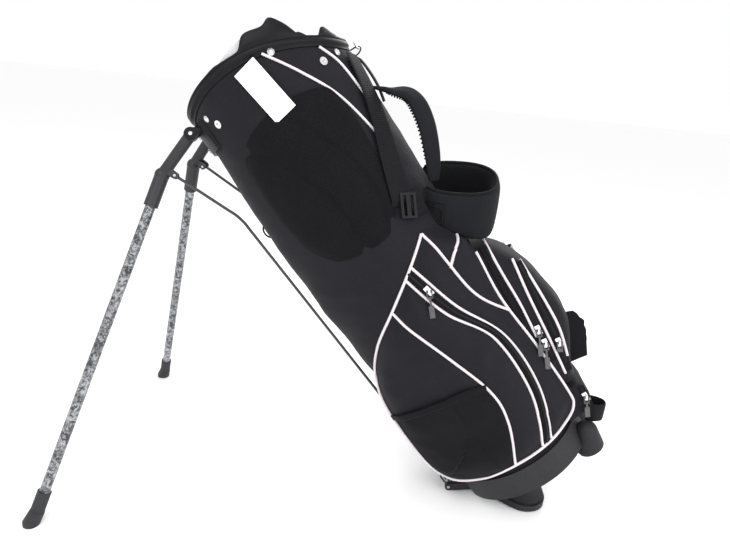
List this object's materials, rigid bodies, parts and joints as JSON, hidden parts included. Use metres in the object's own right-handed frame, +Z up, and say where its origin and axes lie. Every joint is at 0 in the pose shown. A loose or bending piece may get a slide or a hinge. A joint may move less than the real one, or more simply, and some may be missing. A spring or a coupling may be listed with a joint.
{
  "type": "golf stand bag",
  "caption": "Golf carry bag leaning on folding stand legs worked by a base pedal, with a divided cuff, zipped pockets, padded loop strap and moulded boot.",
  "frame": {"origin": "on the ground, straight below the hinge of the base pedal, in the middle plane of the bag", "axes": "+Z up, +X towards the spine side of the bag with the deployed legs towards -X, +Y towards the far side; the bag is leaned back 40 degrees on its legs"},
  "size_m": [0.921, 0.513, 0.7775],
  "materials": {
    "nylon": "woven matte",
    "mesh": "open 3D mesh",
    "webbing": "ribbed",
    "liner": "light grey knit",
    "divider": "felt",
    "moulded": "satin moulded",
    "boot_rubber": "dark grey moulded",
    "foot_rubber": "matte",
    "leg_tube": "mottled dark grey anodised",
    "rod_steel": "black coated wire",
    "stay": "glass-filled rod",
    "steel": "plain",
    "bright": "bright plated",
    "pull": "moulded",
    "label": "plain white film"
  },
  "bodies": {
    "bag": {"boot": "boot_rubber", "rear_feet": "boot_rubber", "pedal_hinge_pin": "steel", "body_shell": "nylon", "spine_stay": "stay", "side_stays": "stay", "cuff": "moulded", "cuff_liner": "liner", "long_divider": "divider", "cross_dividers": "divider", "hip_pad": "mesh", "leg_bracket": "moulded", "bracket_screws": "steel", "leg_pivot_pins": "bright", "side_pocket_near": "nylon", "side_pocket_far": "nylon", "bottle_pocket": "mesh", "ball_pocket": "nylon", "small_pocket": "nylon", "arch_strap": "mesh", "loop_strap": "mesh", "strap_webbing": "webbing", "ladder_buckle": "moulded", "spine_handle": "webbing", "d_ring_tab": "webbing", "grab_loop": "webbing", "glove_tab": "webbing", "cuff_rivets": "bright", "hood_snaps": "bright", "blank_label": "label", "rod_tether": "webbing"},
    "pedal": {"pedal": "boot_rubber", "pedal_cross_pin": "steel"},
    "leg_near": {"elbow_near": "moulded", "tube_near": "leg_tube", "foot_near": "foot_rubber", "rod_pin_near": "steel"},
    "rod_upper_near": {"rod_upper_near": "rod_steel"},
    "rod_lower_near": {"rod_lower_near": "rod_steel"},
    "leg_far": {"elbow_far": "moulded", "tube_far": "leg_tube", "foot_far": "foot_rubber", "rod_pin_far": "steel"},
    "rod_upper_far": {"rod_upper_far": "rod_steel"},
    "rod_lower_far": {"rod_lower_far": "rod_steel"},
    "pocket_zip_slider": {"pocket_slider": "bright"},
    "pocket_zip_pull": {"pocket_pull": "pull"},
    "ball_zip_upper_slider": {"ball_slider_upper": "bright"},
    "ball_zip_upper_pull": {"ball_pull_upper": "pull"},
    "ball_zip_lower_slider": {"ball_slider_lower": "bright"},
    "ball_zip_lower_pull": {"ball_pull_lower": "pull"},
    "wallet_zip_slider": {"wallet_slider": "bright"},
    "wallet_zip_pull": {"wallet_pull": "pull"},
    "small_zip_slider": {"small_slider": "bright"},
    "small_zip_pull": {"small_pull": "pull"},
    "d_ring": {"d_ring": "bright"}
  },
  "joints": [
    {"name": "leg_near_swing", "type": "hinge", "parent": "bag", "child": "leg_near", "pos_m": [-0.53765, -0.056, 0.5983], "axis": [0.2838, -0.9289, 0.2381], "range_deg": [0, 56]},
    {"name": "leg_far_swing", "type": "hinge", "parent": "bag", "child": "leg_far", "pos_m": [-0.53765, 0.056, 0.5983], "axis": [-0.2838, -0.9289, -0.2381], "range_deg": [0, 56.5]},
    {"name": "pedal_tilt", "type": "hinge", "parent": "bag", "child": "pedal", "pos_m": [0, 0, 0.026], "axis": [0, 1, 0], "range_deg": [-40, 0]},
    {"name": "rod_upper_near_turn", "type": "hinge", "parent": "leg_near", "child": "rod_upper_near", "pos_m": [-0.55958, -0.064, 0.5342], "axis": [-0.1999, 0.9536, -0.2251], "range_deg": [0, 77.66]},
    {"name": "rod_lower_near_turn", "type": "hinge", "parent": "rod_upper_near", "child": "rod_lower_near", "pos_m": [-0.45606, -0.056, 0.47617], "axis": [0.0555, -0.9977, -0.0385], "range_deg": [0, 20.74]},
    {"name": "rod_upper_far_turn", "type": "hinge", "parent": "leg_far", "child": "rod_upper_far", "pos_m": [-0.55958, 0.064, 0.5342], "axis": [0.1999, 0.9536, 0.2251], "range_deg": [0, 77.66]},
    {"name": "rod_lower_far_turn", "type": "hinge", "parent": "rod_upper_far", "child": "rod_lower_far", "pos_m": [-0.45606, 0.056, 0.47617], "axis": [-0.0555, -0.9977, 0.0385], "range_deg": [0, 20.74]},
    {"name": "pocket_zip_slide", "type": "slide", "parent": "bag", "child": "pocket_zip_slider", "axis": [0.8022, 0, -0.5971], "range_m": [0, 0.04]},
    {"name": "pocket_zip_pull_lift", "type": "hinge", "parent": "pocket_zip_slider", "child": "pocket_zip_pull", "pos_m": [-0.14984, -0.1236, 0.4146], "axis": [-0.966, 0, -0.2585], "range_deg": [0, 75]},
    {"name": "ball_zip_upper_slide", "type": "slide", "parent": "bag", "child": "ball_zip_upper_slider", "axis": [0.5634, 0, -0.8262], "range_m": [-0.03, 0]},
    {"name": "ball_zip_upper_pull_lift", "type": "hinge", "parent": "ball_zip_upper_slider", "child": "ball_zip_upper_pull", "pos_m": [0.03487, -0.0672, 0.35159], "axis": [-0.966, 0, -0.2585], "range_deg": [0, 75]},
    {"name": "ball_zip_lower_slide", "type": "slide", "parent": "bag", "child": "ball_zip_lower_slider", "axis": [0.5634, 0, -0.8262], "range_m": [0, 0.04]},
    {"name": "ball_zip_lower_pull_lift", "type": "hinge", "parent": "ball_zip_lower_slider", "child": "ball_zip_lower_pull", "pos_m": [0.05005, -0.0672, 0.33039], "axis": [-0.966, 0, -0.2585], "range_deg": [0, 75]},
    {"name": "wallet_zip_slide", "type": "slide", "parent": "bag", "child": "wallet_zip_slider", "axis": [0.5634, 0, -0.8262], "range_m": [0, 0.04]},
    {"name": "wallet_zip_pull_lift", "type": "hinge", "parent": "wallet_zip_slider", "child": "wallet_zip_pull", "pos_m": [0.07104, -0.0672, 0.33494], "axis": [-0.966, 0, -0.2585], "range_deg": [0, 75]},
    {"name": "small_zip_slide", "type": "slide", "parent": "bag", "child": "small_zip_slider", "axis": [0.6428, 0, -0.766], "range_m": [-0.01, 0]},
    {"name": "small_zip_pull_lift", "type": "hinge", "parent": "small_zip_slider", "child": "small_zip_pull", "pos_m": [0.13525, -0.0602, 0.24131], "axis": [-0.966, 0, -0.2585], "range_deg": [0, 75]},
    {"name": "d_ring_flip", "type": "hinge", "parent": "bag", "child": "d_ring", "pos_m": [-0.30232, 0.035, 0.74877], "axis": [0, 1, 0], "range_deg": [0, 100]}
  ],
  "couplings": [
    {"joint": "leg_far_swing", "follows": "leg_near_swing", "ratio": 1},
    {"joint": "pedal_tilt", "follows": "leg_near_swing", "ratio": -0.70874},
    {"joint": "rod_upper_near_turn", "follows": "leg_near_swing", "ratio": 1.3671},
    {"joint": "rod_lower_near_turn", "follows": "leg_near_swing", "ratio": 0.35858},
    {"joint": "rod_upper_far_turn", "follows": "leg_near_swing", "ratio": 1.3671},
    {"joint": "rod_lower_far_turn", "follows": "leg_near_swing", "ratio": 0.35858}
  ]
}
